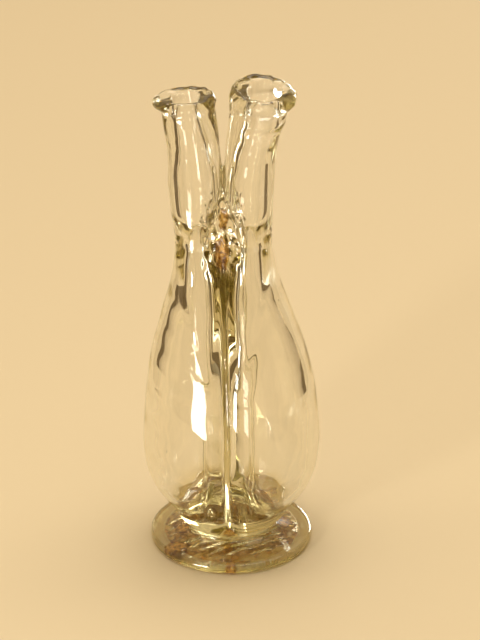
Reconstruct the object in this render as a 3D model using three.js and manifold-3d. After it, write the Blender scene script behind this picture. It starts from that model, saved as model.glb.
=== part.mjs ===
// A hand-blown two-chamber glass decanter: two bubbles of glass fused side by side, each with its own
// neck and applied lip, a bead of glass pinched into the fork between the necks, and a wafer and an
// applied disc foot below. Millimetres, +Z up, origin at the middle of the foot's standing ring.

import * as THREE from 'three';
import { mergeVertices } from 'three/addons/utils/BufferGeometryUtils.js';
import Module from 'manifold-3d';

const wasm = await Module();
wasm.setup();

// Gap kept between pieces that were fused hot on the real object, and the share of it within which
// two points of a solid are one.
const clearance = 0.3;
const samePointShare = 0.0001;

// Foot: an applied disc with a thick rounded rim, a domed top and a hollow underside.
const footRadius = 48;
const footRimThickness = 6.4;
const footRimWidth = 3.4;
const footCrownRadius = 26;
const footCrownHeight = 9.6;
const standingRingWidth = 5;
const footHollowDepth = 3.4;
const footHollowFlatRadius = 12;

// Wafer of glass that joins the body to the foot.
const waferRadius = 25;
const waferThickness = 3;
const waferEdgeWidth = 1.4;

// Stub left by the working rod, under the foot.
const scarRadius = 7;
const scarThickness = 1.2;

// Body, shared by both chambers. Radii and half widths are measured from the seam between them.
const seatRadius = 25;
const bellyRadius = 52.3;
const bellyRise = 56;
const throatRise = 131;
const throatHalfWidth = 28.5;
const creaseRadius = 8.5;
const neckLean = 4.9;

// Heights above the throat.
const forkRise = 20;
const neckRise = 42;
const mouthRise = 99.1;

// Necks. The left and right ones were drawn by hand and differ a little.
const neckGapHalf = 0.9;
const leftNeck = {
  halfWidth: 32.3,
  wall: 7.6,
  flareShares: [[0.36, 0.05], [0.5, 0.24], [0.62, 0.5], [0.75, 0.7]],
  mouthOuter: 36.8,
  mouthGap: 6.2,
  mouthDrop: 5.8,
  mouthWall: 6.7,
  mouthSeamWall: 7.9,
  mouthDepthShare: 0.79,
  boreDepthShare: 1.25,
  tiltFront: 0,
  lipHeight: 5.4,
  lipProud: 4.6,
  lipFront: 0.8,
};
const rightNeck = {
  halfWidth: 30.1,
  wall: 9,
  flareShares: [[0.35, 0.19], [0.47, 0.33], [0.59, 0.6], [0.7, 0.9]],
  mouthOuter: 37.8,
  mouthGap: 6.2,
  mouthDrop: 0,
  mouthWall: 3,
  mouthSeamWall: 8.2,
  mouthDepthShare: 1.02,
  boreDepthShare: 1.46,
  tiltFront: 3,
  lipHeight: 8.4,
  lipProud: 5.2,
  lipFront: 1.8,
};
const mouthTiltOut = 5;

// Glass thickness, and the narrow passage between each chamber and its neck.
const floorThickness = 8;
const bellyWall = 3.6;
const shoulderWall = 4.4;
const septumHalf = 3.4;
const passageWidth = 7;
const passageMiddle = 17.6;

// Lip: a collar of glass laid round the mouth, thin where the two mouths face each other.
const lipSeamSide = 1.2;
const lipAboveMouth = 0.8;

// Bead of glass in the fork.
const beadHalfWidth = 10.5;
const beadHalfDepth = 15.6;
const beadHalfHeight = 20;
const beadBelowFork = 10;

// Numbers of facets.
const roundSteps = 36;
const footSteps = 48;
const edgeSteps = 6;
const beadSteps = 24;
const beadRows = 16;
const scarSteps = 24;

// Rows of facets up the outside of a chamber (seat, foot of the bowl, belly, throat, fork, neck, mouth)
// and up its hollow (floor, foot of the bowl, belly, shoulder, throat, fork, neck, mouth).
const outsideRows = [3, 6, 9, 2, 2, 4];
const hollowRows = [5, 3, 5, 5, 5, 2, 3];
const forkRoomRows = [2, 2, 2, 2];
const lipSeatRows = 3;

// Outlines, as rows of [height share, width share] between two stations.
const bowlShares = [[0.03, 0.12], [0.08, 0.22], [0.26, 0.44], [0.37, 0.63], [0.55, 0.85], [0.76, 0.965]];
const shoulderShares = [[0.2, 0.068], [0.4, 0.225], [0.6, 0.53], [0.75, 0.78], [0.88, 0.94]];
const hollowBowlShares = [
  [0.03, 0.19],
  [0.08, 0.34],
  [0.14, 0.44],
  [0.22, 0.54],
  [0.38, 0.77],
  [0.58, 0.91],
  [0.78, 0.975],
];
const hollowSeptumShares = [[0.03, 0.45], [0.12, 0.78], [0.28, 0.96]];
const passageShares = [[0.28, 0.16], [0.72, 0.84]];
const scarShares = [1.06, 0.9, 1.02, 0.93, 1.05, 0.95];
const footSlopeShares = [[0.35, 0.2], [0.7, 0.62]];
const footHollowShares = [[0.4, 0.8], [0.8, 0.35]];

// Where things begin along the rise from belly to throat, and where the wall there is measured.
const leanStartShare = 0.05;
const shoulderHeightShare = 0.74;
const roundingStartShare = 0.3;
const wallHeightShares = [0.2, 0.4, 0.6];

// How the gap between the necks opens, how wide a neck is at the fork, where its bore opens above
// the passage, and where its wall is measured further up.
const gapShares = [[0.45, 0.25], [0.77, 0.55]];
const forkWidthShare = 0.6;
const neckFootShare = 0.2;
const neckWallShares = [0.35, 0.7];

// How far up the bowl its rounded foot reaches, outside and in the hollow.
const bowlFootShare = 0.16;
const hollowFootShare = 0.3;

// How deep the sections are for their width: a neck, and the passage.
const neckDepthShare = 1.14;
const passageDepthShare = 2;

// How round the hollow's corners are.
const hollowCornerShare = 0.46;
const hollowPoleShare = 0.36;

const share = (from, to, part) => from + (to - from) * part;
const smooth = THREE.MathUtils.smoothstep;

// Heights that follow from the sizes above.
const waferZ = footCrownHeight + clearance;
const seatZ = waferZ + waferThickness + clearance;
const floorZ = seatZ + floorThickness;
const bellyZ = seatZ + bellyRise;
const throatZ = bellyZ + throatRise;
const forkZ = throatZ + forkRise;
const neckZ = throatZ + neckRise;
const shoulderZ = share(bellyZ, throatZ, shoulderHeightShare);
const roundingZ = share(bellyZ, throatZ, roundingStartShare);

// A smooth value at a height, through stations [height, value] that rise in height.
function through(stations, height) {
  const last = stations.length - 1;
  if (height <= stations[0][0]) return stations[0][1];
  if (height >= stations[last][0]) return stations[last][1];
  const i = stations.findIndex((station) => station[0] > height) - 1;
  const slope = (k) => (stations[k + 1][1] - stations[k][1]) / (stations[k + 1][0] - stations[k][0]);
  const tangent = (k) => {
    if (k === 0) return slope(0);
    if (k === last) return slope(last - 1);
    const before = slope(k - 1);
    const after = slope(k);
    return before * after <= 0 ? 0 : (2 * before * after) / (before + after);
  };
  const width = stations[i + 1][0] - stations[i][0];
  const rise = stations[i + 1][1] - stations[i][1];
  const t = (height - stations[i][0]) / width;
  const bendIn = tangent(i) * width - rise;
  const bendOut = rise - tangent(i + 1) * width;
  return stations[i][1] + rise * t + t * (1 - t) * (bendIn * (1 - t) + bendOut * t);
}

// Stations between two others, from an outline's shares.
function between(start, end, shares) {
  return shares.map(([h, v]) => [share(start[0], end[0], h), share(start[1], end[1], v)]);
}

// The seam leans to the left from the belly to the fork, and stands upright above it.
function seamX(z) {
  return -neckLean * smooth(z, share(bellyZ, throatZ, leanStartShare), forkZ);
}

// The outside of one chamber: its far edge and its edge beside the seam, measured from the seam.
function shellOf(neck) {
  const mouthZ = throatZ + mouthRise - neck.mouthDrop;
  const seat = [seatZ, seatRadius];
  const belly = [bellyZ, bellyRadius];
  const throat = [throatZ, throatHalfWidth];
  const neckFar = [neckZ, neck.halfWidth];
  const neckNear = [neckZ, neckGapHalf];
  const mouthFar = [mouthZ, neck.mouthOuter];
  const mouthNear = [mouthZ, neck.mouthGap];
  const outer = [
    seat,
    ...between(seat, belly, bowlShares),
    belly,
    ...between(belly, throat, shoulderShares),
    throat,
    [forkZ, share(throatHalfWidth, neck.halfWidth, forkWidthShare)],
    neckFar,
    ...between(neckFar, mouthFar, neck.flareShares),
    mouthFar,
  ];
  const inner = [
    [forkZ, clearance / 2],
    neckNear,
    ...between(neckNear, mouthNear, gapShares),
    mouthNear,
  ];
  const depth = [
    [roundingZ, 1],
    [throatZ, neckDepthShare],
    [neckZ, neckDepthShare],
    [mouthZ, neck.mouthDepthShare],
  ];
  return { neck, mouthZ, outer, inner, depth };
}

// The hollow of one chamber: rounded floor, bowl, shoulder, narrow passage, neck and mouth.
function hollowOf(shell) {
  const { neck } = shell;
  const wallAt = (z, wall) => [z, through(shell.outer, z) - wall];
  const walls = (lowZ, highZ, lowWall, highWall, shares) =>
    shares.map((part) => wallAt(share(lowZ, highZ, part), share(lowWall, highWall, part)));
  const pole = bellyRadius * hollowPoleShare;
  const belly = wallAt(bellyZ, bellyWall);
  const shoulder = wallAt(shoulderZ, shoulderWall);
  const passageOuter = [throatZ, passageMiddle + passageWidth / 2];
  const passageInner = [throatZ, passageMiddle - passageWidth / 2];
  const neckOuter = wallAt(share(forkZ, neckZ, neckFootShare), neck.wall);
  const neckInner = [neckOuter[0], clearance / 2 + neck.wall];
  const outer = [
    [floorZ, pole],
    ...between([floorZ, pole], belly, hollowBowlShares),
    belly,
    ...walls(bellyZ, throatZ, bellyWall, shoulderWall, wallHeightShares),
    shoulder,
    ...between(shoulder, passageOuter, passageShares),
    passageOuter,
    ...between(passageOuter, neckOuter, passageShares),
    neckOuter,
    wallAt(neckZ, neck.wall),
    ...walls(neckZ, shell.mouthZ, neck.wall, neck.mouthWall, neckWallShares),
    wallAt(shell.mouthZ, neck.mouthWall),
  ];
  const inner = [
    [floorZ, pole],
    ...between([floorZ, pole], [bellyZ, septumHalf], hollowSeptumShares),
    [bellyZ, septumHalf],
    [shoulderZ, septumHalf],
    ...between([shoulderZ, septumHalf], passageInner, passageShares),
    passageInner,
    ...between(passageInner, neckInner, passageShares),
    neckInner,
    [neckZ, neckGapHalf + neck.wall],
    [shell.mouthZ, neck.mouthGap + neck.mouthSeamWall],
  ];
  const depth = [
    [roundingZ, 1],
    [shoulderZ, neckDepthShare],
    [throatZ, passageDepthShare],
    [neckOuter[0], neckDepthShare],
    [shell.mouthZ, neck.boreDepthShare],
  ];
  return { neck, mouthZ: shell.mouthZ, outer, inner, depth };
}

// How much of a section's width its rounded corners take: all of it makes a circle.
function shellCorner(z, width) {
  const round = smooth(z, roundingZ, throatZ);
  return share(Math.min(creaseRadius, width / 2), width / 2, round);
}

function hollowCorner(z, width) {
  const nearFloor = 1 - smooth(z, floorZ, bellyZ);
  const nearThroat = smooth(z, roundingZ, shoulderZ);
  return (width / 2) * share(hollowCornerShare, 1, Math.max(nearFloor, nearThroat));
}

// How far a section runs from its middle along a ray. The section is a half disc with rounded
// corners: all points within one corner radius of a smaller half disc.
function reach(inner, outer, corner, cos, sin) {
  const middle = (inner + outer) / 2;
  const flat = inner + corner;
  const round = outer - corner;
  const halfFlat = Math.sqrt(Math.max(round * round - flat * flat, 0));
  const isInside = (length) => {
    const u = middle + length * cos;
    const v = length * sin;
    const scale = Math.min(1, round / Math.hypot(u, v));
    let nearU = u * scale;
    let nearV = v * scale;
    if (nearU < flat) {
      nearU = flat;
      nearV = THREE.MathUtils.clamp(v, -halfFlat, halfFlat);
    }
    return Math.hypot(u - nearU, v - nearV) < corner;
  };
  let low = 0;
  let high = 2 * outer;
  let guess = outer;
  while (guess > low && guess < high) {
    if (isInside(guess)) low = guess;
    else high = guess;
    guess = (low + high) / 2;
  }
  return low;
}

// One point of a chamber's skin: the section at a height, along one ray, moved out by some extra.
function skinPoint(side, edges, cornerAt, z, step, extra = 0) {
  const inner = through(edges.inner, z);
  const outer = through(edges.outer, z);
  const middle = (inner + outer) / 2;
  const corner = cornerAt(z, outer - inner);
  const angle = (2 * Math.PI * step) / roundSteps;
  const stretch = share(2, 1, (2 * corner) / (outer - inner));
  const ray = new THREE.Vector2(Math.cos(angle), stretch * Math.sin(angle)).normalize();
  const length = reach(inner, outer, corner, ray.x, ray.y) + extra;
  const u = length * ray.x;
  const v = length * ray.y * through(edges.depth, z);
  const tilt = smooth(z, neckZ, edges.mouthZ);
  const out = Math.tan(THREE.MathUtils.degToRad(mouthTiltOut)) * tilt;
  const front = Math.tan(THREE.MathUtils.degToRad(edges.neck.tiltFront)) * tilt;
  return new THREE.Vector3(seamX(z) + side * (middle + u), v, z - out * u + front * v);
}

function skinRow(side, edges, cornerAt, z, extra) {
  return Array.from({ length: roundSteps }, (_, step) => skinPoint(side, edges, cornerAt, z, step, extra));
}

// A closed body over rows of points. A ring of rows joins its last row to its first, and any other
// body is closed by a fan of facets over its first and last rows.
function bodyOf(rows, isRing = false) {
  const count = rows[0].length;
  const points = rows.flat();
  const indices = [];
  const joins = isRing ? rows.length : rows.length - 1;
  for (let r = 0; r < joins; r += 1) {
    const below = r * count;
    const above = ((r + 1) % rows.length) * count;
    for (let i = 0; i < count; i += 1) {
      const j = (i + 1) % count;
      indices.push(below + i, below + j, above + j, below + i, above + j, above + i);
    }
  }
  if (!isRing) {
    const middleOf = (row) => row.reduce((sum, p) => sum.add(p), new THREE.Vector3()).divideScalar(count);
    const first = points.push(middleOf(rows[0])) - 1;
    const last = points.push(middleOf(rows[rows.length - 1])) - 1;
    const top = (rows.length - 1) * count;
    for (let i = 0; i < count; i += 1) {
      const j = (i + 1) % count;
      indices.push(first, j, i, last, top + i, top + j);
    }
  }
  const geometry = new THREE.BufferGeometry();
  geometry.setAttribute('position', new THREE.Float32BufferAttribute(points.flatMap((p) => p.toArray()), 3));
  geometry.setIndex(indices);
  return geometry;
}

// Turns a mirrored body's facets the right way out.
function facingOut(geometry, side) {
  if (side > 0) return geometry;
  const index = geometry.getIndex();
  for (let i = 0; i < index.count; i += 3) {
    const first = index.getX(i);
    index.setX(i, index.getX(i + 1));
    index.setX(i + 1, first);
  }
  return geometry;
}

// Heights that step evenly between stations, so that the rows follow the outline.
function heights(stops, counts) {
  const list = [stops[0]];
  counts.forEach((count, k) => {
    for (let i = 1; i <= count; i += 1) list.push(share(stops[k], stops[k + 1], i / count));
  });
  return list;
}

// One chamber of blown glass: bubble, throat and neck, open only at its mouth.
function chamber(side, shell) {
  const hollow = hollowOf(shell);
  const bowlZ = share(seatZ, bellyZ, bowlFootShare);
  const hollowBowlZ = share(floorZ, bellyZ, hollowFootShare);
  const outsideStops = [seatZ, bowlZ, bellyZ, throatZ, forkZ, neckZ, shell.mouthZ];
  const hollowStops = [floorZ, hollowBowlZ, bellyZ, shoulderZ, throatZ, forkZ, neckZ, shell.mouthZ];
  const inside = heights(hollowStops, hollowRows).reverse().slice(0, -1);
  const rows = [
    ...heights(outsideStops, outsideRows).map((z) => skinRow(side, shell, shellCorner, z)),
    ...inside.map((z) => skinRow(side, hollow, hollowCorner, z)),
  ];
  return facingOut(bodyOf(rows), side);
}

// The collar round one mouth: a half oval section that hugs the neck. It stands proudest on the side
// away from the other mouth, and least in front and at the back.
function lip(side, shell) {
  const { lipHeight, lipProud, lipFront } = shell.neck;
  const half = lipHeight / 2;
  const middleZ = shell.mouthZ + lipAboveMouth - half;
  const rowOf = (rise, bulge) =>
    Array.from({ length: roundSteps }, (_, step) => {
      const across = Math.cos((2 * Math.PI * step) / roundSteps);
      const proud = share(lipFront, across > 0 ? lipProud : lipSeamSide, across ** 2);
      return skinPoint(side, shell, shellCorner, middleZ + rise, step, clearance + proud * bulge);
    });
  const bulge = heights([-Math.PI / 2, Math.PI / 2], [edgeSteps]).slice(1, -1);
  const seat = heights([half, -half], [lipSeatRows]);
  const rows = [
    ...bulge.map((angle) => rowOf(half * Math.sin(angle), Math.cos(angle))),
    ...seat.map((rise) => rowOf(rise, 0)),
  ];
  return facingOut(bodyOf(rows, true), side);
}

function solidOf(geometry) {
  const bare = geometry.clone();
  bare.deleteAttribute('normal');
  bare.deleteAttribute('uv');
  const merged = mergeVertices(bare, clearance * samePointShare);
  const vertProperties = new Float32Array(merged.getAttribute('position').array);
  const triVerts = new Uint32Array(merged.getIndex().array);
  return new wasm.Manifold(new wasm.Mesh({ numProp: 3, vertProperties, triVerts }));
}

function geometryOf(solid) {
  const { vertProperties, triVerts } = solid.getMesh();
  const geometry = new THREE.BufferGeometry();
  geometry.setAttribute('position', new THREE.BufferAttribute(vertProperties, 3));
  geometry.setIndex(new THREE.BufferAttribute(triVerts, 1));
  return geometry;
}

// The room that one chamber takes up in the fork, with clearance all round.
function forkRoom(side, shell) {
  const low = forkZ - beadBelowFork - beadHalfHeight - clearance;
  const high = forkZ - beadBelowFork + beadHalfHeight + clearance;
  const stops = [low, throatZ, forkZ, neckZ, high].sort((a, b) => a - b);
  const rows = heights(stops, forkRoomRows).map((z) => skinRow(side, shell, shellCorner, z, clearance));
  return facingOut(bodyOf(rows), side);
}

// The bead of glass in the fork: an oval drop with the two necks cut out of it.
function bead(shells) {
  const drop = new THREE.SphereGeometry(1, beadSteps, beadRows);
  drop.rotateX(Math.PI / 2);
  drop.scale(beadHalfWidth, beadHalfDepth, beadHalfHeight);
  drop.translate(seamX(forkZ), 0, forkZ - beadBelowFork);
  return geometryOf(
    shells.reduce((solid, { side, shell }) => solid.subtract(solidOf(forkRoom(side, shell))), solidOf(drop)),
  );
}

// A turned piece from its outline, rows of [radius, height] that start and end on the axis.
function turned(outline) {
  const geometry = new THREE.LatheGeometry(outline.map(([r, z]) => new THREE.Vector2(r, z)), footSteps);
  return geometry.rotateX(Math.PI / 2);
}

// The points of a rounded edge, from its lower end to its upper end.
function roundedEdge(radius, width, low, high) {
  return heights([-Math.PI / 2, Math.PI / 2], [edgeSteps]).map((angle) => [
    radius - width + width * Math.cos(angle),
    share(low, high, (1 + Math.sin(angle)) / 2),
  ]);
}

function foot() {
  const ringOuter = footRadius - footRimWidth;
  const ringInner = ringOuter - standingRingWidth;
  const slope = footSlopeShares.map(([out, up]) => [
    share(ringOuter, footCrownRadius, out),
    share(footRimThickness, footCrownHeight, up),
  ]);
  const hollow = footHollowShares.map(([out, up]) => [
    share(footHollowFlatRadius, ringInner, out),
    footHollowDepth * up,
  ]);
  return turned([
    [0, footHollowDepth],
    [footHollowFlatRadius, footHollowDepth],
    ...hollow,
    [ringInner, 0],
    ...roundedEdge(footRadius, footRimWidth, 0, footRimThickness),
    ...slope,
    [footCrownRadius, footCrownHeight],
    [0, footCrownHeight],
  ]);
}

function wafer() {
  const top = waferZ + waferThickness;
  return turned([[0, waferZ], ...roundedEdge(waferRadius, waferEdgeWidth, waferZ, top), [0, top]]);
}

// The stub under the foot, an uneven disc in the hollow of the underside.
function scar() {
  const corners = scarShares.map((part, i) => {
    const angle = (2 * Math.PI * i) / scarShares.length;
    return new THREE.Vector3(Math.cos(angle), Math.sin(angle), 0).multiplyScalar(part * scarRadius);
  });
  const rim = new THREE.CatmullRomCurve3(corners, true).getPoints(scarSteps).slice(0, -1);
  const outline = new THREE.Shape(rim.map((p) => new THREE.Vector2(p.x, p.y)));
  const geometry = new THREE.ExtrudeGeometry(outline, { depth: scarThickness, bevelEnabled: false });
  return geometry.translate(0, 0, footHollowDepth - clearance - scarThickness);
}

function glass(color, roughness) {
  return new THREE.MeshStandardMaterial({ color, roughness, metalness: 0 });
}

const decanter = new THREE.Group();

function add(name, geometry, material) {
  const mesh = new THREE.Mesh(geometry, material);
  mesh.name = name;
  decanter.add(mesh);
}

const sides = [
  { name: 'left', side: -1, shell: shellOf(leftNeck) },
  { name: 'right', side: 1, shell: shellOf(rightNeck) },
];

for (const { name, side, shell } of sides) {
  add(`${name}_chamber`, chamber(side, shell), glass(0xdfe2c6, 0.05));
  add(`${name}_lip`, lip(side, shell), glass(0xd3d8b4, 0.06));
}
add('fork_bead', bead(sides), glass(0xc9c49c, 0.1));
add('body_wafer', wafer(), glass(0xd3d8b4, 0.08));
add('foot', foot(), glass(0xcfd2a8, 0.07));
add('pontil_scar', scar(), glass(0xb9b48c, 0.5));

export default decanter;
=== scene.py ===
"""A hand-blown two-chamber glass decanter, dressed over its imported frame.

The real object is one continuous skin of glass, because its gathers were fused hot and no face is left
between them. So the eight solids of the frame are stood for by one closed mesh. It is the zero surface
of a field, negative in glass, that adds the gathers up with soft joins and takes the hollows away.
Sizes are in millimetres, +Z up, origin at the middle of the foot's underside. Meshes are in metres.
"""

import math

import bmesh
import bpy
import numpy as np
from mathutils import Matrix, Vector


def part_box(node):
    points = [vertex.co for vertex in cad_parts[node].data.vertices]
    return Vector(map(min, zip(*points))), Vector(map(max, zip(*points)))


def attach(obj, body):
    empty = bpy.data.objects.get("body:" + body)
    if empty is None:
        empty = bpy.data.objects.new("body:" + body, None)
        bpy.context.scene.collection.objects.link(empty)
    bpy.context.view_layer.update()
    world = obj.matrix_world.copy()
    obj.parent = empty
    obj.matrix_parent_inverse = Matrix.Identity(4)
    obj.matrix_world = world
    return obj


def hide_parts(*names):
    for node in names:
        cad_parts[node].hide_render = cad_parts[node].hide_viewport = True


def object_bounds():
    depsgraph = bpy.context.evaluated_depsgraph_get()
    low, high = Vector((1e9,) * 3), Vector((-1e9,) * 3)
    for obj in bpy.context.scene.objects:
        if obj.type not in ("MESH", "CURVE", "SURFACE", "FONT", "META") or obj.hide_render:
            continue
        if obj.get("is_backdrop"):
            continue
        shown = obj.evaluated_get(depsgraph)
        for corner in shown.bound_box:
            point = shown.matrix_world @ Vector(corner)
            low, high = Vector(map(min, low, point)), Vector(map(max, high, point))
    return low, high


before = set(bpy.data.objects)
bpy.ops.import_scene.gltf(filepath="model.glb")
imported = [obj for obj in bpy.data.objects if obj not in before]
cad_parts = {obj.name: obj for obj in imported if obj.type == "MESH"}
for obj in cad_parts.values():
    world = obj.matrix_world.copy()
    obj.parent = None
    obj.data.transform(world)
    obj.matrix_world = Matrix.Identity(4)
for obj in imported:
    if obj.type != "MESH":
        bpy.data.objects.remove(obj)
cad_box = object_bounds()

METRE = 0.001


def node_box(name):
    """A frame node's lowest and highest corners in millimetres."""
    return [np.array(corner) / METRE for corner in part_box(name)]


# Heights and radii that come from the frame.
FOOT_HIGH = node_box("foot")[1]
WAFER_HIGH = node_box("body_wafer")[1]
SCAR_LOW, SCAR_HIGH = node_box("pontil_scar")
LEFT_LOW = node_box("left_chamber")[0]
FOOT_RADIUS = FOOT_HIGH[0]
FOOT_CROWN = FOOT_HIGH[2]
WAFER_RADIUS = WAFER_HIGH[0]
SCAR_RADIUS = (SCAR_HIGH[0] - SCAR_LOW[0]) / 2
SCAR_FACE = SCAR_LOW[2]
SEAT_Z = LEFT_LOW[2]

# Body and necks, measured from the seam between the chambers.
SEAT_RADIUS = 25.0
BELLY_RADIUS = 52.3
BELLY_Z = SEAT_Z + 56.0
THROAT_Z = BELLY_Z + 131.0
THROAT_HALF_WIDTH = 28.5
FORK_Z = THROAT_Z + 20.0
NECK_Z = THROAT_Z + 42.0
MOUTH_Z = THROAT_Z + 99.1
NECK_GAP_HALF = 0.9
CREASE_RADIUS = 8.5
NECK_LEAN = 4.9
MOUTH_TILT_OUT = math.tan(math.radians(5))

# The necks. Outer and gap are the mouth's far and near edges, measured from the seam. The flare shares are
# (height share, width share) from the neck's foot to its mouth.
LEFT_NECK = {
    "side": -1,
    "half_width": 32.3,
    "wall": 5.8,
    "flare_shares": [(0.36, 0.05), (0.5, 0.24), (0.62, 0.5), (0.75, 0.7)],
    "outer": 36.8,
    "gap": 6.2,
    "drop": 5.8,
    "mouth_wall": 6.7,
    "mouth_seam_wall": 7.9,
    "depth_share": 0.79,
    "bore_depth_share": 1.25,
    "tilt_front": 0.0,
    "lip_height": 5.4,
    "lip_proud": 4.6,
    "lip_front": 0.8,
}
RIGHT_NECK = {
    "side": 1,
    "half_width": 30.1,
    "wall": 5.8,
    "flare_shares": [(0.35, 0.19), (0.47, 0.33), (0.59, 0.6), (0.7, 0.9)],
    "outer": 37.8,
    "gap": 6.2,
    "drop": 0.0,
    "mouth_wall": 3.0,
    "mouth_seam_wall": 8.2,
    "depth_share": 1.02,
    "bore_depth_share": 1.46,
    "tilt_front": math.tan(math.radians(3)),
    "lip_height": 8.4,
    "lip_proud": 5.2,
    "lip_front": 1.8,
}

# Glass thickness, and the passages between the chambers and their necks.
FLOOR_Z = SEAT_Z + 8.0
BELLY_WALL = 6.6
SHOULDER_WALL = 6.8
THROAT_WALL = 8.4
LEAST_WALL = 3.0
SEPTUM_HALF = 3.7
SEPTUM_TOP_HALF = 5.6
PASSAGE_WIDTH = 10.0
PASSAGE_MIDDLE = 15.6

# Lips, bead and foot.
LIP_SINK = 3.0
LIP_SEAM_SIDE = 1.2
LIP_ABOVE_MOUTH = 0.8
BEAD_HALF = (9.0, 15.6, 20.0)
BEAD_BELOW_FORK = 10.0
FOOT_RIM_THICKNESS = 6.4
FOOT_RIM_ROUND = 3.1
FOOT_CROWN_RADIUS = 26.0
STANDING_RING_INSIDE = 39.6
FOOT_HOLLOW_DEPTH = 3.4
FOOT_HOLLOW_FLAT = 12.0

# How softly the gathers run into each other.
SEAM_JOIN = 5.0
FOOT_JOIN = 4.0
LIP_JOIN = 4.0
BEAD_JOIN = 3.0
MOUTH_ROUND = 2.0
SCAR_JOIN = 1.5
SEPTUM_JOIN = 6.0

# Outlines, as (height share, width share) between two stations.
BOWL_SHARES = [(0.03, 0.12), (0.08, 0.22), (0.26, 0.44), (0.37, 0.63), (0.55, 0.85), (0.76, 0.965)]
SHOULDER_SHARES = [(0.2, 0.068), (0.4, 0.225), (0.6, 0.53), (0.75, 0.78), (0.88, 0.94)]
HOLLOW_BOWL_SHARES = [
    (0.03, 0.19),
    (0.08, 0.34),
    (0.14, 0.44),
    (0.22, 0.54),
    (0.38, 0.77),
    (0.58, 0.91),
    (0.78, 0.975),
]
HOLLOW_SEPTUM_SHARES = [(0.03, 0.45), (0.12, 0.78), (0.28, 0.96)]
PASSAGE_SHARES = [(0.28, 0.16), (0.72, 0.84)]
FOOT_SLOPE_SHARES = [(0.35, 0.2), (0.7, 0.62)]
FOOT_HOLLOW_SHARES = [(0.4, 0.8), (0.8, 0.35)]
WALL_HEIGHT_SHARES = (0.2, 0.4, 0.6)
LEAN_START_SHARE = 0.05
ROUNDING_START_SHARE = 0.3
SHOULDER_HEIGHT_SHARE = 0.74
GAP_SHARES = [(0.45, 0.25), (0.77, 0.55)]
FORK_WIDTH_SHARE = 0.6
NECK_FOOT_SHARE = 0.2
NECK_WALL_SHARES = (0.35, 0.7)
NECK_DEPTH_SHARE = 1.14
PASSAGE_DEPTH_SHARE = 1.7
HOLLOW_CORNER_SHARE = 0.46
HOLLOW_POLE_SHARE = 0.36

# Unevenness of hand-blown glass: wave lengths and heights, and where the waves fade out.
WAVE_DRAW = 7
SKIN_WAVES = (19.0, 24.0, 31.0, 43.0)
SKIN_WAVE_HEIGHT = 0.09
HOLLOW_WAVES = (15.0, 20.0, 28.0, 39.0)
HOLLOW_WAVE_HEIGHT = 0.12
LIP_WAVES = (4.8, 6.5, 9.0, 14.0)
LIP_WAVE_HEIGHT = 0.3
LIP_WAVES_BELOW_MOUTH = (20.0, 7.0)
UNDERSIDE_WAVES = (4.5, 6.0, 8.0, 11.0)
UNDERSIDE_WAVE_HEIGHT = 0.6
UNDERSIDE_WAVES_ABOVE_HOLLOW = (0.6, 2.2)
UNDERSIDE_WAVES_RING_GAP = 7.0
BEAD_WAVES = (5.0, 7.0, 9.0, 13.0)
BEAD_WAVE_HEIGHT = 0.55
BEAD_WAVES_REACH = (9.0, 13.0)
BEAD_WAVES_ABOVE_FORK = (-34.0, -26.0, 4.0, 10.0)
RIPPLE_PITCH = 3.2
RIPPLE_HEIGHT = 0.24
RIPPLE_ABOVE_SEAT = (1.5, 5.0, 14.0, 20.0)
RIPPLE_EDGE = (1.0, 12.0)
SCAR_UNEVENNESS_SHARE = 0.14
SCAR_LOBES = 3
SCAR_TURN = 1.0

# Seeds, the small air bubbles in the walls.
SEEDS_PER_CHAMBER = 8
SEED_RADII = (0.25, 0.6)
SEED_STRETCH = (1.2, 2.6)
SEED_HEIGHTS = (SEAT_Z + 14.0, MOUTH_Z - 30.0)
SEED_HALF_TURN = 1.3
SEED_SEARCH_STEP = 0.25
SEED_SEARCH_COUNT = 40
SEED_COVER = 0.4
SEED_DRAW = 3
SEED_SUBDIVISIONS = 2

# Grid of the mesh. Its steps are level, fine and coarse, and the fine ones lie in bands at the seam, the
# base and the throat.
FULL_STEPS = (1.6, 1.0, 1.8)
NECK_STEP_SHARE = 1.2
GRID_MARGIN = 6.0
SEAM_BAND = (12.0, 6.0)
BASE_BAND = 19.0
THROAT_BAND = 12.0
GRID_DECIMALS = 6

# How the net's points settle on the surface: in how many steps, and the least squared slope to divide by.
SETTLE_STEPS = 4
LEAST_SLOPE = 0.05

# How far to each side a slope is measured, on an outline and in the field.
OUTLINE_REACH = 0.5
FIELD_REACH = 0.05

# The least distance to divide by.
LEAST_DISTANCE = 1.0


def share(low, high, part):
    """The value that is a part of the way from low to high."""
    return low + (high - low) * part


def smooth(value, low, high):
    """Rises from 0 at low to 1 at high, level at both ends."""
    part = np.clip((value - low) / (high - low), 0, 1)
    return part * part * (3 - 2 * part)


def window(value, stations):
    """Rises from 0 to 1 between the first two stations, and falls back between the last two."""
    return smooth(value, stations[0], stations[1]) * (1 - smooth(value, stations[2], stations[3]))


ROUNDING_Z = share(BELLY_Z, THROAT_Z, ROUNDING_START_SHARE)
SHOULDER_Z = share(BELLY_Z, THROAT_Z, SHOULDER_HEIGHT_SHARE)


def join(a, b, softness):
    """The union of two fields, with a fillet of about the given softness."""
    overlap = np.maximum(softness - np.abs(a - b), 0) / softness
    return np.minimum(a, b) - overlap * overlap * softness / 4


def meet(a, b, softness):
    """What two fields share, with a rounded edge."""
    return -join(-a, -b, softness)


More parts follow.
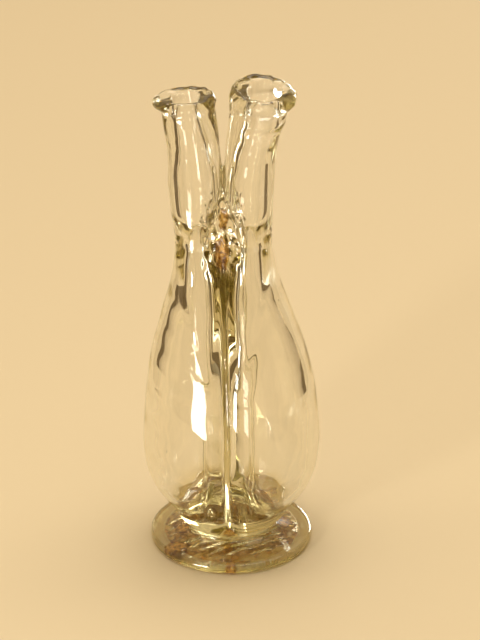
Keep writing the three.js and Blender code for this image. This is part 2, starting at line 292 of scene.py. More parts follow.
class Outline:
    """A smooth value at each height, through stations (height, value) that rise in height.

    The curve is level at a station where the value turns round, so it never swings past a station.
    """

    def __init__(self, stations):
        self.z, self.value = np.array(stations, float).T
        rise = np.diff(self.value) / np.diff(self.z)
        product = rise[:-1] * rise[1:]
        total = np.where(product > 0, rise[:-1] + rise[1:], 1)
        middle = np.where(product > 0, 2 * product / total, 0)
        self.tangent = np.concatenate([rise[:1], middle, rise[-1:]])

    def __call__(self, z):
        z = np.clip(z, self.z[0], self.z[-1])
        i = np.clip(np.searchsorted(self.z, z, side="right") - 1, 0, len(self.z) - 2)
        width = self.z[i + 1] - self.z[i]
        rise = self.value[i + 1] - self.value[i]
        part = (z - self.z[i]) / width
        bend_in = self.tangent[i] * width - rise
        bend_out = rise - self.tangent[i + 1] * width
        return self.value[i] + rise * part + part * (1 - part) * (bend_in * (1 - part) + bend_out * part)

    def steepness(self, z):
        """How much a level distance to the outline shortens when it is measured square to it."""
        slope = (self(z + OUTLINE_REACH) - self(z - OUTLINE_REACH)) / (2 * OUTLINE_REACH)
        return 1 / np.sqrt(1 + slope * slope)


def between(start, end, shares):
    """Stations between two others, from (height share, value share)."""
    return [(share(start[0], end[0], h), share(start[1], end[1], v)) for h, v in shares]


def seam_x(z):
    """The seam leans to the left from the belly to the fork, and stands upright above it."""
    return -NECK_LEAN * smooth(z, share(BELLY_Z, THROAT_Z, LEAN_START_SHARE), FORK_Z)


def section(u, v, inner, outer, corner):
    """Level distance to a half disc with rounded corners, whose flat side faces the seam."""
    flat = inner + corner
    round_part = outer - corner
    half_flat = np.sqrt(np.maximum(round_part**2 - flat**2, 0))
    distance = np.hypot(u, v)
    scale = np.minimum(1, round_part / np.maximum(distance, LEAST_DISTANCE))
    near_u = u * scale
    near_v = v * scale
    beside = near_u < flat
    near_u = np.where(beside, flat, near_u)
    near_v = np.where(beside, np.clip(v, -half_flat, half_flat), near_v)
    away = np.hypot(u - near_u, v - near_v)
    inside = np.maximum(flat - u, distance - round_part)
    return np.where(inside > 0, away, inside) - corner


class Waves:
    """A smooth unevenness: a sum of waves of chosen lengths, each in a fixed random direction."""

    def __init__(self, draw, lengths, height):
        ways = draw.normal(size=(len(lengths), 3))
        ways /= np.linalg.norm(ways, axis=1, keepdims=True)
        self.turns = 2 * math.pi * ways / np.array(lengths)[:, None]
        self.starts = draw.uniform(0, 2 * math.pi, len(lengths))
        self.height = height / math.sqrt(len(lengths))

    def __call__(self, x, y, z):
        total = 0
        for turn, start in zip(self.turns, self.starts):
            total = total + np.sin(turn[0] * x + turn[1] * y + turn[2] * z + start)
        return self.height * total


class Chamber:
    """One chamber with its neck: the outlines of its outside and of its hollow."""

    def __init__(self, neck):
        self.neck = neck
        self.mouth_z = MOUTH_Z - neck["drop"]
        seat = (SEAT_Z, SEAT_RADIUS)
        belly = (BELLY_Z, BELLY_RADIUS)
        throat = (THROAT_Z, THROAT_HALF_WIDTH)
        neck_far = (NECK_Z, neck["half_width"])
        neck_near = (NECK_Z, NECK_GAP_HALF)
        mouth_far = (self.mouth_z, neck["outer"])
        mouth_near = (self.mouth_z, neck["gap"])
        self.outer = Outline(
            [
                seat,
                *between(seat, belly, BOWL_SHARES),
                belly,
                *between(belly, throat, SHOULDER_SHARES),
                throat,
                (FORK_Z, share(THROAT_HALF_WIDTH, neck["half_width"], FORK_WIDTH_SHARE)),
                neck_far,
                *between(neck_far, mouth_far, neck["flare_shares"]),
                mouth_far,
            ]
        )
        self.inner = Outline(
            [(FORK_Z, 0), neck_near, *between(neck_near, mouth_near, GAP_SHARES), mouth_near]
        )
        self.depth = Outline(
            [
                (ROUNDING_Z, 1),
                (THROAT_Z, NECK_DEPTH_SHARE),
                (NECK_Z, NECK_DEPTH_SHARE),
                (self.mouth_z, neck["depth_share"]),
            ]
        )
        self.make_hollow()

    def wall_at(self, z, wall):
        """A station of the hollow, a wall's thickness inside the outline."""
        return (z, float(self.outer(z)) - wall)

    def walls(self, low, high, low_wall, high_wall, shares):
        """Stations of the hollow between two heights, with a wall that changes evenly."""
        return [self.wall_at(share(low, high, part), share(low_wall, high_wall, part)) for part in shares]

    def make_hollow(self):
        """The outlines of the hollow: its far side, its side at the seam, its wall and its depth."""
        pole = (FLOOR_Z, BELLY_RADIUS * HOLLOW_POLE_SHARE)
        belly = self.wall_at(BELLY_Z, BELLY_WALL)
        shoulder = self.wall_at(SHOULDER_Z, SHOULDER_WALL)
        passage_outer = (THROAT_Z, PASSAGE_MIDDLE + PASSAGE_WIDTH / 2)
        passage_inner = (THROAT_Z, PASSAGE_MIDDLE - PASSAGE_WIDTH / 2)
        neck = self.neck
        neck_outer = self.wall_at(share(FORK_Z, NECK_Z, NECK_FOOT_SHARE), neck["wall"])
        neck_inner = (neck_outer[0], neck["wall"])
        self.hollow_outer = Outline(
            [
                pole,
                *between(pole, belly, HOLLOW_BOWL_SHARES),
                belly,
                *self.walls(BELLY_Z, THROAT_Z, BELLY_WALL, SHOULDER_WALL, WALL_HEIGHT_SHARES),
                shoulder,
                *between(shoulder, passage_outer, PASSAGE_SHARES),
                passage_outer,
                *between(passage_outer, neck_outer, PASSAGE_SHARES),
                neck_outer,
                self.wall_at(NECK_Z, neck["wall"]),
                *self.walls(NECK_Z, self.mouth_z, neck["wall"], neck["mouth_wall"], NECK_WALL_SHARES),
                self.wall_at(self.mouth_z, neck["mouth_wall"]),
            ]
        )
        self.hollow_inner = Outline(
            [
                pole,
                *between(pole, (BELLY_Z, SEPTUM_HALF), HOLLOW_SEPTUM_SHARES),
                (BELLY_Z, SEPTUM_HALF),
                (SHOULDER_Z, SEPTUM_TOP_HALF),
                *between((SHOULDER_Z, SEPTUM_TOP_HALF), passage_inner, PASSAGE_SHARES),
                passage_inner,
                *between(passage_inner, neck_inner, PASSAGE_SHARES),
                neck_inner,
                (NECK_Z, NECK_GAP_HALF + neck["wall"]),
                (self.mouth_z, neck["gap"] + neck["mouth_seam_wall"]),
            ]
        )
        self.even_wall = Outline(
            [
                (BELLY_Z, BELLY_WALL),
                (SHOULDER_Z, SHOULDER_WALL),
                (THROAT_Z, THROAT_WALL),
                (neck_outer[0], neck["wall"]),
            ]
        )
        self.even_heights = (ROUNDING_Z, SHOULDER_Z, THROAT_Z, neck_outer[0])
        self.hollow_depth = Outline(
            [
                (ROUNDING_Z, 1),
                (SHOULDER_Z, NECK_DEPTH_SHARE),
                (THROAT_Z, PASSAGE_DEPTH_SHARE),
                (neck_outer[0], NECK_DEPTH_SHARE),
                (self.mouth_z, neck["bore_depth_share"]),
            ]
        )

    def place(self, x, y, z):
        """How far a point is from the seam, how high if the mouth were level, and the neck's middle."""
        u = self.neck["side"] * (x - seam_x(z))
        middle = (self.inner(z) + self.outer(z)) / 2
        tilt = smooth(z, NECK_Z, self.mouth_z)
        level = z + tilt * (MOUTH_TILT_OUT * (u - middle) - self.neck["tilt_front"] * y)
        return u, level, middle

    def skin(self, u, v, z):
        """Distance to the outside, without its ends."""
        inner = self.inner(z)
        outer = self.outer(z)
        half = (outer - inner) / 2
        rounding = smooth(z, ROUNDING_Z, THROAT_Z)
        corner = share(np.minimum(CREASE_RADIUS, half), half, rounding)
        return section(u, v, inner, outer, corner) * self.outer.steepness(z)

    def hollow(self, u, v, z, skin):
        """Distance to the hollow. From shoulder to throat it follows the outside at an even depth."""
        inner = self.hollow_inner(z)
        outer = self.hollow_outer(z)
        half = np.maximum((outer - inner) / 2, 0)
        near_floor = 1 - smooth(z, FLOOR_Z, BELLY_Z)
        near_throat = smooth(z, ROUNDING_Z, SHOULDER_Z)
        corner = half * share(HOLLOW_CORNER_SHARE, 1, np.maximum(near_floor, near_throat))
        side = section(u, v, inner, outer, corner) * self.hollow_outer.steepness(z)
        even = meet(skin + self.even_wall(z), inner - u, SEPTUM_JOIN)
        side = share(side, even, window(z, self.even_heights))
        return np.maximum(side, FLOOR_Z - z)

    def lip(self, u, v, skin, z, middle):
        """A collar of glass round the mouth, proudest away from the other mouth, least front and back."""
        across = np.cos(np.arctan2(v, u - middle))
        side = np.where(across > 0, self.neck["lip_proud"], LIP_SEAM_SIDE)
        proud = share(self.neck["lip_front"], side, across**2)
        centre = (proud - LIP_SINK) / 2
        half_wide = (proud + LIP_SINK) / 2
        half_high = self.neck["lip_height"] / 2
        from_middle = z - (self.mouth_z + LIP_ABOVE_MOUTH - half_high)
        oval = np.hypot((skin - centre) / half_wide, from_middle / half_high)
        return (oval - 1) * half_high

    def fields(self, x, y, z):
        """The chamber's outside with its lip, and its hollow."""
        u, level, middle = self.place(x, y, z)
        v = y / self.depth(level)
        skin = self.skin(u, v, level)
        ended = meet(meet(skin, level - self.mouth_z, MOUTH_ROUND), SEAT_Z - z, MOUTH_ROUND)
        outside = join(ended, self.lip(u, v, skin, level, middle), LIP_JOIN)
        hollow = self.hollow(u, y / self.hollow_depth(level), level, skin)
        return outside, meet(hollow, skin + LEAST_WALL, LEAST_WALL)


class Foot:
    """The applied foot, with its rounded rim, domed top and hollow underside."""

    def __init__(self):
        self.round_from = FOOT_RADIUS - FOOT_RIM_ROUND
        slope = [
            (share(self.round_from, FOOT_CROWN_RADIUS, out), share(FOOT_RIM_THICKNESS, FOOT_CROWN, up))
            for out, up in FOOT_SLOPE_SHARES
        ]
        hollow = [
            (share(FOOT_HOLLOW_FLAT, STANDING_RING_INSIDE, out), FOOT_HOLLOW_DEPTH * up)
            for out, up in FOOT_HOLLOW_SHARES
        ]
        crown = [(0, FOOT_CROWN), (FOOT_CROWN_RADIUS, FOOT_CROWN)]
        vault = [(0, FOOT_HOLLOW_DEPTH), (FOOT_HOLLOW_FLAT, FOOT_HOLLOW_DEPTH)]
        self.top = Outline([*crown, *reversed(slope), (self.round_from, FOOT_RIM_THICKNESS)])
        self.bottom = Outline([*vault, *hollow, (STANDING_RING_INSIDE, 0)])

    def __call__(self, x, y, z):
        radius = np.hypot(x, y)
        top = (z - self.top(radius)) * self.top.steepness(radius)
        bottom = (self.bottom(radius) - z) * self.bottom.steepness(radius)
        half = FOOT_RIM_THICKNESS / 2
        past_side = np.maximum(radius - self.round_from, 0)
        past_face = np.maximum(np.abs(z - half) - half + FOOT_RIM_ROUND, 0)
        edge = np.hypot(past_side, past_face)
        rim = np.where(radius > self.round_from, edge - FOOT_RIM_ROUND, radius - FOOT_RADIUS)
        return np.maximum(np.maximum(top, bottom), rim)


CHAMBERS = [Chamber(LEFT_NECK), Chamber(RIGHT_NECK)]
foot_field = Foot()
draw = np.random.default_rng(WAVE_DRAW)
skin_waves = Waves(draw, SKIN_WAVES, SKIN_WAVE_HEIGHT)
hollow_waves = Waves(draw, HOLLOW_WAVES, HOLLOW_WAVE_HEIGHT)
lip_waves = Waves(draw, LIP_WAVES, LIP_WAVE_HEIGHT)
underside_waves = Waves(draw, UNDERSIDE_WAVES, UNDERSIDE_WAVE_HEIGHT)
bead_waves = Waves(draw, BEAD_WAVES, BEAD_WAVE_HEIGHT)


def wafer_field(x, y, z):
    """The disc of glass between body and foot, which runs into both."""
    middle = (FOOT_CROWN + SEAT_Z) / 2
    past_face = np.abs(z - middle) - (SEAT_Z - FOOT_CROWN) / 2 - FOOT_JOIN / 2
    return np.maximum(np.hypot(x, y) - WAFER_RADIUS, past_face)


def bead_field(x, y, z):
    """The drop of glass pinched into the fork, drawn as an ellipsoid."""
    across = (x - seam_x(FORK_Z)) / BEAD_HALF[0]
    deep = y / BEAD_HALF[1]
    high = (z - FORK_Z + BEAD_BELOW_FORK) / BEAD_HALF[2]
    return (np.sqrt(across**2 + deep**2 + high**2) - 1) * BEAD_HALF[0]


def scar_field(x, y, z):
    """The rough stub of glass under the foot where the working rod was broken off."""
    around = np.arctan2(y, x)
    lobes = np.sin(SCAR_LOBES * around + SCAR_TURN) * np.cos(around)
    radius = SCAR_RADIUS * (1 + SCAR_UNEVENNESS_SHARE * lobes)
    return np.maximum(np.hypot(x, y) - radius, np.maximum(SCAR_FACE - z, z - FOOT_CROWN))


def ripples(x, y, z):
    """Level ripples in the skin of the right chamber's bowl, low down at the front."""
    high = window(z - SEAT_Z, RIPPLE_ABOVE_SEAT)
    side = smooth(x, *RIPPLE_EDGE) * smooth(-y, *RIPPLE_EDGE)
    return RIPPLE_HEIGHT * high * side * np.sin(2 * math.pi * z / RIPPLE_PITCH)


def unevenness(x, y, z):
    """How far the outside strays from its true shape."""
    lips = smooth(z, MOUTH_Z - LIP_WAVES_BELOW_MOUTH[0], MOUTH_Z - LIP_WAVES_BELOW_MOUTH[1])
    under = 1 - smooth(z - FOOT_HOLLOW_DEPTH, *UNDERSIDE_WAVES_ABOVE_HOLLOW)
    inside_ring = STANDING_RING_INSIDE - UNDERSIDE_WAVES_RING_GAP
    under = under * (1 - smooth(np.hypot(x, y), inside_ring, STANDING_RING_INSIDE))
    fork = window(z - FORK_Z, BEAD_WAVES_ABOVE_FORK)
    fork = fork * (1 - smooth(np.abs(x - seam_x(z)), *BEAD_WAVES_REACH))
    total = skin_waves(x, y, z) * smooth(z, 0, FOOT_RIM_THICKNESS) + ripples(x, y, z)
    total = total + lips * lip_waves(x, y, z) + under * underside_waves(x, y, z)
    return total + fork * bead_waves(x, y, z)


def glass_field(x, y, z):
    """The whole decanter: negative in glass, about the distance to its skin elsewhere."""
    (left, left_hollow), (right, right_hollow) = (chamber.fields(x, y, z) for chamber in CHAMBERS)
    body = join(join(left, right, SEAM_JOIN), bead_field(x, y, z), BEAD_JOIN)
    base = join(foot_field(x, y, z), wafer_field(x, y, z), FOOT_JOIN)
    base = join(base, scar_field(x, y, z), SCAR_JOIN)
    whole = join(body, base, FOOT_JOIN) + unevenness(x, y, z)
    hollows = np.minimum(left_hollow, right_hollow) + hollow_waves(x, y, z)
    return np.maximum(whole, -hollows)


def stops(*spans):
    """Grid lines over joined spans (start, end, step)."""
    lines = []
    for start, end, step in spans:
        count = round((end - start) / step)
        lines.append(np.arange(start, end, (end - start) / count))
    lines.append([spans[-1][1]])
    return np.unique(np.round(np.concatenate(lines), GRID_DECIMALS))


def moved(array, axis, start, end):
    """The array without some first and last entries along one axis."""
    kept = [slice(None)] * array.ndim
    kept[axis] = slice(start, array.shape[axis] + end)
    return array[tuple(kept)]


def surface_net(axes, values):
    """Points and four-sided faces over the zero surface of values on a grid.

    There is one point in each cell that the surface crosses, the mean of its crossings with the cell's
    edges, and one face for each grid edge that it crosses, through the four cells round that edge.
    """
    inside = values < 0
    cells = tuple(n - 1 for n in values.shape)
    total = np.zeros(cells + (3,))
    count = np.zeros(cells)
    crossings = []
    for axis in range(3):
        others = [a for a in range(3) if a != axis]
        low = moved(values, axis, 0, -1)
        high = moved(values, axis, 1, 0)
        crossed = moved(inside, axis, 0, -1) != moved(inside, axis, 1, 0)
        where = np.nonzero(crossed)
        part = low[where] / (low[where] - high[where])
        place = np.stack([axes[a][where[a]] for a in range(3)], axis=1)
        place[:, axis] += part * (axes[axis][where[axis] + 1] - axes[axis][where[axis]])
        around = []
        # The four cells round each crossed edge, in turn.
        for back in ((1, 1), (0, 1), (0, 0), (1, 0)):
            cell = [np.array(w) for w in where]
            for other, step in zip(others, back):
                cell[other] = cell[other] - step
            around.append(cell)
        real = np.ones(len(place), bool)
        for cell in around:
            for a in range(3):
                real &= (cell[a] >= 0) & (cell[a] < cells[a])
        around = [tuple(c[real] for c in cell) for cell in around]
        for cell in around:
            np.add.at(total, cell, place[real])
            np.add.at(count, cell, 1)
        # Round the middle axis the cells run the other way, so its faces are turned over.
        leaves = moved(inside, axis, 0, -1)[where][real]
        crossings.append((around, leaves if axis != 1 else ~leaves))
    used = np.nonzero(count)
    number = np.full(cells, -1)
    number[used] = np.arange(len(used[0]))
    faces = []
    for around, leaves in crossings:
        quads = np.stack([number[cell] for cell in around], axis=1)
        quads[~leaves] = quads[~leaves][:, ::-1]
        faces.append(quads)
    return total[used] / count[used][:, None], np.concatenate(faces)


def slopes(field, points):
    """The field's gradient at points."""
    columns = []
    for axis in range(3):
        shift = np.zeros(3)
        shift[axis] = FIELD_REACH
        columns.append((field(*(points + shift).T) - field(*(points - shift).T)) / (2 * FIELD_REACH))
    return np.stack(columns, axis=1)


def settle(field, points, limit):
    """Moves points onto the zero surface, each step no longer than the limit."""
    for _ in range(SETTLE_STEPS):
        gradient = slopes(field, points)
        size = np.maximum((gradient**2).sum(axis=1), LEAST_SLOPE)
        step = -(field(*points.T) / size)[:, None] * gradient
        length = np.maximum(np.linalg.norm(step, axis=1, keepdims=True), limit)
        points = points + step * limit / length
    return points


def unit(vectors):
    return vectors / np.linalg.norm(vectors, axis=1, keepdims=True)


def skin_net():
    """Points, faces and normals of the decanter's skin."""
    level, fine, coarse = FULL_STEPS
    reach = FOOT_RADIUS + GRID_MARGIN
    across = stops(
        (-reach, -SEAM_BAND[0], level),
        (-SEAM_BAND[0], SEAM_BAND[1], fine),
        (SEAM_BAND[1], reach, level),
    )
    deep = stops((-reach, reach, level))
    base_top = SEAT_Z + BASE_BAND
    throat_low = THROAT_Z - THROAT_BAND
    high = stops(
        (-GRID_MARGIN, base_top, fine),
        (base_top, throat_low, coarse),
        (throat_low, MOUTH_Z + GRID_MARGIN, fine * NECK_STEP_SHARE),
    )
    values = np.empty((len(across), len(deep), len(high)))
    x, y = np.meshgrid(across, deep, indexing="ij")
    for k, z in enumerate(high):
        values[:, :, k] = glass_field(x, y, np.full_like(x, z))
    points, faces = surface_net([across, deep, high], values)
    points = settle(glass_field, points, fine / 2)
    return points, faces, unit(slopes(glass_field, points))


def ball():
    """Corners and triangles of a small unit ball."""
    made = bmesh.new()
    bmesh.ops.create_icosphere(made, subdivisions=SEED_SUBDIVISIONS, radius=1)
    corners = np.array([corner.co[:] for corner in made.verts])
    faces = [[corner.index for corner in face.verts] for face in made.faces]
    made.free()
    return corners, faces


def seed_places(draw):
    """Middles of the wall at scattered heights and directions, each with a seed's radius and stretch."""
    for chamber in CHAMBERS:
        side = chamber.neck["side"]
        for _ in range(SEEDS_PER_CHAMBER):
            z = draw.uniform(*SEED_HEIGHTS)
            way = side * math.pi / 2 + draw.uniform(-1, 1) * SEED_HALF_TURN
            radius = draw.uniform(*SEED_RADII)
            stretch = draw.uniform(*SEED_STRETCH)
            middle_x = float(seam_x(z)) + side * float(chamber.inner(z) + chamber.outer(z)) / 2
            reach = np.arange(BELLY_RADIUS, 0, -SEED_SEARCH_STEP)
            x = middle_x + reach * math.sin(way)
            y = -reach * math.cos(way)
            depth = -glass_field(x, y, np.full_like(x, z))
            first = int(np.argmax(depth > 0))
            wall = depth[first:first + SEED_SEARCH_COUNT]
            best = first + int(np.argmax(wall))
            if depth[best] > radius + SEED_COVER:
                yield np.array([x[best], y[best], z]), radius, stretch


def glass_mesh():
    """One closed mesh: the skin, and the seeds as small hollows whose faces look inward."""
    points, faces, normals = skin_net()
    places = [points]
    ways = [normals]
    polygons = faces.tolist()
    count = len(points)
    corners, triangles = ball()
    for middle, radius, stretch in seed_places(np.random.default_rng(SEED_DRAW)):
        size = np.array([radius, radius, radius * stretch])
        places.append(middle + corners * size)
        ways.append(-unit(corners / size))
        polygons += [[corner + count for corner in reversed(face)] for face in triangles]
        count += len(corners)
    mesh = bpy.data.meshes.new("glass")
    mesh.from_pydata((np.concatenate(places) * METRE).tolist(), [], polygons)
    mesh.shade_smooth()
    mesh.normals_split_custom_set_from_vertices(np.concatenate(ways).tolist())
    return mesh


def place_object(name, data):
    """A new object in the scene."""
    made = bpy.data.objects.new(name, data)
    bpy.context.scene.collection.objects.link(made)
    return made


class Nodes:
    """Adds nodes to a material or world and joins them up."""

    def __init__(self, owner):
        owner.use_nodes = True
        self.tree = owner.node_tree

    def put(self, socket, value):
        """Gives an input a value, or joins it to another node's output."""
        if isinstance(value, bpy.types.NodeSocket):
            self.tree.links.new(value, socket)
        else:
            socket.default_value = value

    def add(self, kind, *values, output=0, **settings):
        """A new node with values for its first inputs. Gives back one of its outputs."""
        node = self.tree.nodes.new(kind)
        for name, value in settings.items():
            setattr(node, name, value)
        for socket, value in zip(node.inputs, values):
            self.put(socket, value)
        return node.outputs[output]

    def math(self, operation, *values):
        return self.add("ShaderNodeMath", *values, operation=operation)

    def vector(self, operation, *values, output=0):
        return self.add("ShaderNodeVectorMath", *values, output=output, operation=operation)

    def spread(self, value, low, high, to_low=0.0, to_high=1.0):
        """Maps low..high smoothly to another span."""
        values = (value, low, high, to_low, to_high)
        return self.add("ShaderNodeMapRange", *values, interpolation_type="SMOOTHSTEP")

    def mix(self, part, first, second):
        """The colour that is a part of the way from the first to the second."""
        node = self.tree.nodes.new("ShaderNodeMix")
        node.data_type = "RGBA"
        self.put(node.inputs["Factor"], part)
        self.put(node.inputs["A"], first)
        self.put(node.inputs["B"], second)
        return node.outputs["Result"]

    def ramp(self, part, colours):
        """The colour at a part of the way along (position, colour) stops."""
        node = self.tree.nodes.new("ShaderNodeValToRGB")
        elements = node.color_ramp.elements
        while len(elements) < len(colours):
            elements.new(1)
        for element, (position, colour) in zip(elements, colours):
            element.position = position
            element.color = colour
        self.put(node.inputs["Fac"], part)
        return node.outputs["Color"]

    def noise(self, place, length, detail):
        """Noise whose patches are about the given length in millimetres."""
        node = self.tree.nodes.new("ShaderNodeTexNoise")
        self.put(node.inputs["Vector"], place)
        node.inputs["Scale"].default_value = 1 / length
        node.inputs["Detail"].default_value = detail
        return node.outputs[0]


# Residue in the glass, in millimetres: middle, radii, and its strength at the edge and in the middle.
RESIDUE = {
    "below_fork": ((-4.9, -11.0, 199.0), (5.0, 9.0, 15.0), 0.9, 0.9),
    "fork": ((-4.0, -9.0, 218.0), (4.0, 8.0, 9.0), 0.5, 0.5),
    "foot_front_left": ((-30.0, -28.0, 4.5), (9.0, 7.0, 6.0), 0.9, 0.9),
    "septum_foot": ((0.5, -22.0, 18.0), (7.0, 7.0, 5.0), 1.0, 1.0),
    "left_floor": ((-15.0, 8.0, 21.5), (12.0, 12.0, 3.0), 0.8, 0.35),
    "right_floor": ((15.0, 8.0, 21.5), (14.0, 12.0, 3.0), 0.8, 0.35),
    "foot_left": ((-29.0, -9.0, 9.5), (6.0, 6.0, 3.5), 0.9, 0.9),
    "foot_right": ((32.0, 2.0, 9.5), (6.0, 7.0, 3.5), 0.75, 0.75),
    "foot_front": ((0.0, -31.0, 7.0), (4.0, 3.5, 3.0), 0.9, 0.9),
    "rim_front": ((2.0, -45.0, 3.0), (4.5, 5.0, 5.0), 0.9, 0.9),
}
FOOT_RESIDUE = 0.3
FOOT_RESIDUE_TOP = (3.2, 6.0)
FOOT_RESIDUE_RADIUS = (30.0, 43.0)

# The noise in the residue: patch length and detail.
GRIT_NOISE = (2.2, 3.0)
PATCH_NOISE = (4.5, 2.0)
PATCH_LEVELS = (0.42, 0.58)

# How ragged a spot is, where its core ends and where its edge fades, in shares of its radii.
SPOT_RAGGEDNESS = 0.9
SPOT_CORE = (0.7, 1.1)
SPOT_EDGE = (1.45, 0.95)

# A golden tint in the foot and on the bowls' floors, which is painted warm light seen through them, and the
# wear on the standing ring.
FOOT_PAINTED_WARMTH = 0.8
BOWL_PAINTED_WARMTH = 0.45
BOWL_PAINTED_WARMTH_TOP = (20.0, 34.0)
RING_WEAR_TOP = (0.02, 0.2)

# Colours of the glass. The residue's run from its darkest grit to its palest, and the tint deepens with
# the way through the glass, in metres.
CLEAR = (1, 1, 1, 1)
# The golden colour that is painted in for warm light seen through the foot and the bowls' floors.
PAINTED_WARMTH_COLOUR = (1.0, 0.84, 0.32, 1)
RESIDUE_COLOURS = [
    (0.38, (0.16, 0.06, 0.012, 1)),
    (0.6, (0.85, 0.47, 0.1, 1)),
    (0.72, (1.0, 0.88, 0.55, 1)),
]
FULL_COLOUR_COVER = 0.1
TINT = (0.81, 0.77, 0.54, 1)
TINT_DENSITY = 23
GLASS_IOR = 1.5
GLASS_ROUGHNESS = 0.01
RESIDUE_ROUGHNESS = 0.4
WEAR_ROUGHNESS = 0.35


def residue(nodes, place):
    """How much of each lies on the glass at a place: brown residue, a golden tint that is painted warm
    light, and wear. Then the grit.
    """
    grit = nodes.noise(place, *GRIT_NOISE)
    patches = nodes.spread(nodes.noise(place, *PATCH_NOISE), *PATCH_LEVELS)
    total = 0.0
    for middle, radii, edge, core in RESIDUE.values():
        offset = nodes.vector("DIVIDE", nodes.vector("SUBTRACT", place, middle), radii)
        away = nodes.vector("LENGTH", offset, output="Value")
        away = nodes.math("ADD", away, nodes.math("MULTIPLY", grit, SPOT_RAGGEDNESS))
        strength = nodes.spread(away, *SPOT_CORE, core, edge)
        spot = nodes.math("MULTIPLY", nodes.spread(away, *SPOT_EDGE), strength)
        total = nodes.math("MAXIMUM", spot, total)
    split = nodes.tree.nodes.new("ShaderNodeSeparateXYZ")
    nodes.put(split.inputs[0], place)
    x, y, z = split.outputs
    square = nodes.math("ADD", nodes.math("MULTIPLY", x, x), nodes.math("MULTIPLY", y, y))
    radius = nodes.math("SQRT", square)
    low = nodes.spread(z, *reversed(FOOT_RESIDUE_TOP))
    inside = nodes.spread(radius, *reversed(FOOT_RESIDUE_RADIUS))
    foot = nodes.math("MULTIPLY", inside, nodes.math("MULTIPLY", patches, FOOT_RESIDUE))
    foot = nodes.math("MULTIPLY", low, foot)
    wear = nodes.spread(z, *reversed(RING_WEAR_TOP))
    # Painted warm light: a golden tint in the foot's underside and on the bowls' floors.
    painted_warmth = nodes.math("MULTIPLY", low, FOOT_PAINTED_WARMTH)
    painted_warmth = nodes.math("MAXIMUM", painted_warmth, nodes.spread(z, *reversed(BOWL_PAINTED_WARMTH_TOP), 0.0, BOWL_PAINTED_WARMTH))
    return nodes.math("MAXIMUM", total, foot), painted_warmth, wear, grit


def glass_material():
    """Clear tinted glass, brown and matt where residue covers it, and golden where warm light is painted
    into the foot and the bowls' floors.
    """
    material = bpy.data.materials.new("decanter_glass")
    nodes = Nodes(material)
    shader = nodes.tree.nodes["Principled BSDF"]
    place = nodes.add("ShaderNodeTexCoord", output="Object")
    place = nodes.vector("MULTIPLY", place, (1 / METRE,) * 3)
    brown, painted_warmth, wear, grit = residue(nodes, place)
    gritty = nodes.ramp(grit, RESIDUE_COLOURS)
    clear = nodes.mix(painted_warmth, CLEAR, PAINTED_WARMTH_COLOUR)
    colour = nodes.mix(nodes.spread(brown, 0.0, FULL_COLOUR_COVER), clear, gritty)
    nodes.put(shader.inputs["Base Color"], colour)
    nodes.put(shader.inputs["Transmission Weight"], nodes.math("SUBTRACT", 1.0, brown))
    brown_rough = nodes.math("MULTIPLY", brown, RESIDUE_ROUGHNESS)
    worn_rough = nodes.math("MULTIPLY", wear, WEAR_ROUGHNESS)
    rough = nodes.math("MAXIMUM", brown_rough, worn_rough)
    nodes.put(shader.inputs["Roughness"], nodes.math("ADD", rough, GLASS_ROUGHNESS))
    shader.inputs["IOR"].default_value = GLASS_IOR
    volume = nodes.add("ShaderNodeVolumeAbsorption", TINT, TINT_DENSITY)
    nodes.put(nodes.tree.nodes["Material Output"].inputs["Volume"], volume)
    return material


glass = place_object("decanter_glass", glass_mesh())
glass.data.materials.append(glass_material())
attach(glass, "root")
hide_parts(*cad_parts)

# Floor, in metres.
FLOOR_RADIUS = 6.0
FLOOR_CORNERS = 96
FLOOR_COLOUR = (0.8, 0.65, 0.42, 1)
FLOOR_SHINE = 0.1
MATT_ROUGHNESS = 0.9


def matt_material(name, colour, shine):
    """A matt material with a little or more shine."""
    material = bpy.data.materials.new(name)
    shader = Nodes(material).tree.nodes["Principled BSDF"]
    shader.inputs["Base Color"].default_value = colour
    shader.inputs["Roughness"].default_value = MATT_ROUGHNESS
    shader.inputs["Specular IOR Level"].default_value = shine
    return material


def make_floor():
    """A plain round floor, whose far edge is out of sight."""
    ring = [2 * math.pi * i / FLOOR_CORNERS for i in range(FLOOR_CORNERS)]
    rim = [(FLOOR_RADIUS * math.cos(turn), FLOOR_RADIUS * math.sin(turn), 0) for turn in ring]
    mesh = bpy.data.meshes.new("floor")
    mesh.from_pydata(rim, [], [list(range(FLOOR_CORNERS))])
    floor = place_object("floor", mesh)
    mesh.materials.append(matt_material("floor", FLOOR_COLOUR, FLOOR_SHINE))
    floor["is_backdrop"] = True


make_floor()


# Lamps, in metres and watts: name, place, target, size, power, colour, and whether they light the floor.
# The others show only as highlights in the glass. Two of those are strips that stand on the floor at the
# front left, one behind the other: name, distance, size and power.
HIGHLIGHT_COLOUR = (1, 0.98, 0.9)
LAMPS = [
    ("front", (-0.62, -1.0, 0.36), (0, 0, 0.12), (0.12, 0.12), 4, (1, 0.95, 0.86), True),
    ("top", (0.1, 0.2, 1.9), (0, 0, 0), (1.6, 1.6), 22, (1, 0.97, 0.92), True),
    ("right", (0.42, 1.05, 0.2), (0, 0, 0.02), (0.5, 0.4), 7, HIGHLIGHT_COLOUR, False),
]
STRIPS = [("near_strip", 0.28, (0.09, 0.078), 0.5), ("far_strip", 1.0, (0.32, 0.16), 3.6)]
STRIP_TURN = math.radians(36)


def lamp(name, place, target, size, power, colour, lights_floor):
    """A rectangular lamp that faces its target and isn't seen itself."""
    data = bpy.data.lights.new(name, "AREA")
    data.shape = "RECTANGLE"
    data.size, data.size_y = size
    data.energy = power
    data.color = colour
    made = place_object(name, data)
    made.location = place
    made.rotation_euler = (Vector(target) - Vector(place)).to_track_quat("-Z", "Y").to_euler()
    made.visible_camera = False
    made.visible_diffuse = lights_floor


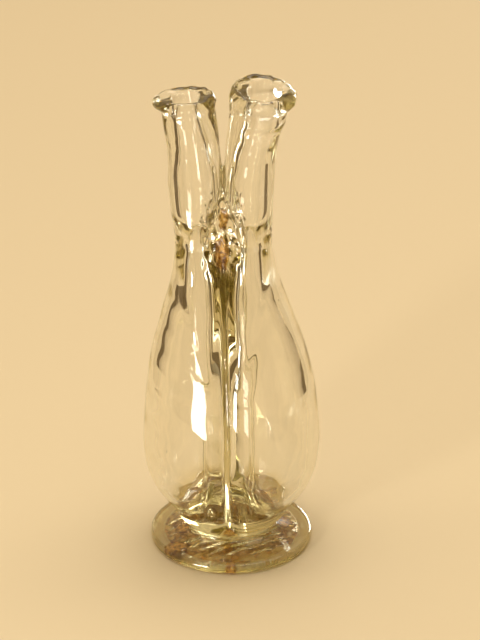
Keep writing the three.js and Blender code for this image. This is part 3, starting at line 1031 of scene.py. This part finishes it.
for settings in LAMPS:
    lamp(*settings)
for name, away, size, power in STRIPS:
    height = size[1] / 2
    place = (-away * math.sin(STRIP_TURN), -away * math.cos(STRIP_TURN), height)
    lamp(name, place, (0, 0, height), size, power, HIGHLIGHT_COLOUR, False)

# Brown cards on both sides, out of the picture, are painted shade standing in for the unlit room: they show
# only in the glass and draw its edges.
# They stand at these turns, in degrees from straight behind the object.
CARD_AWAY = 0.3
CARD_SIZE = (0.14, 0.26)
CARD_TURNS = (62, 118, 242, 298)
CARD_SHADE_COLOUR = (0.16, 0.11, 0.05, 1)
CARD_SHINE = 0.5


def make_cards():
    """Upright dark cards of painted shade that face the object and cast no shadow."""
    material = matt_material("card", CARD_SHADE_COLOUR, CARD_SHINE)
    for number, turn in enumerate(CARD_TURNS):
        way = Vector((math.sin(math.radians(turn)), math.cos(math.radians(turn)), 0))
        side = Vector((way.y, -way.x, 0)) * CARD_SIZE[0] / 2
        foot = way * CARD_AWAY
        up = Vector((0, 0, CARD_SIZE[1]))
        mesh = bpy.data.meshes.new(f"card_{number}")
        mesh.from_pydata([foot - side, foot + side, foot + side + up, foot - side + up], [], [(0, 1, 2, 3)])
        mesh.materials.append(material)
        card = place_object(f"card_{number}", mesh)
        card.visible_camera = False
        card.visible_diffuse = False
        card.visible_shadow = False
        card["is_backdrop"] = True


make_cards()

# The room round the object: its colours along one direction, from the viewer's side to behind the object.
ROOM_WAY = (-0.3, 0.92, 0.25)
ROOM_LEVEL = 0.85
ROOM_COLOURS = [
    (0.12, (0.2, 0.145, 0.07, 1)),
    (0.45, (0.34, 0.25, 0.13, 1)),
    (0.65, (0.86, 0.72, 0.5, 1)),
]


def make_world():
    """A pale room behind the object and a browner one on the viewer's side, seen in the glass."""
    world = bpy.data.worlds.new("room")
    bpy.context.scene.world = world
    nodes = Nodes(world)
    way = nodes.add("ShaderNodeTexCoord", output="Generated")
    along = nodes.vector("DOT_PRODUCT", way, ROOM_WAY, output="Value")
    part = nodes.math("MULTIPLY_ADD", along, 0.5, 0.5)
    background = nodes.tree.nodes["Background"]
    background.inputs["Strength"].default_value = ROOM_LEVEL
    nodes.put(background.inputs["Color"], nodes.ramp(part, ROOM_COLOURS))


make_world()

# Camera: far away, at the photograph's angle, in metres, degrees and millimetres of film.
CAMERA_PLACE = (0.00507, -5.0, 2.9218)
CAMERA_PITCH = 29.035
CAMERA_TURN = 3.2
CAMERA_LENS = 546.2
CAMERA_REACH = 30.0
SENSOR = 36.0
camera_data = bpy.data.cameras.new("camera")
camera_data.lens = CAMERA_LENS
camera_data.sensor_width = SENSOR
camera_data.clip_end = CAMERA_REACH
camera = place_object("camera", camera_data)
turn = Matrix.Rotation(math.radians(CAMERA_TURN), 3, "Z")
camera.location = turn @ Vector(CAMERA_PLACE)
camera.rotation_euler = (math.radians(90 - CAMERA_PITCH), 0, math.radians(CAMERA_TURN))
bpy.context.scene.camera = camera
bpy.context.scene.view_settings.view_transform = "Standard"

# Thick glass sends light round inside it many times.
LIGHT_BOUNCES = 64
for bounces in ("max_bounces", "glossy_bounces", "transmission_bounces"):
    setattr(bpy.context.scene.cycles, bounces, LIGHT_BOUNCES)

for low, high in (cad_box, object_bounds()):
    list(low)
    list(high)
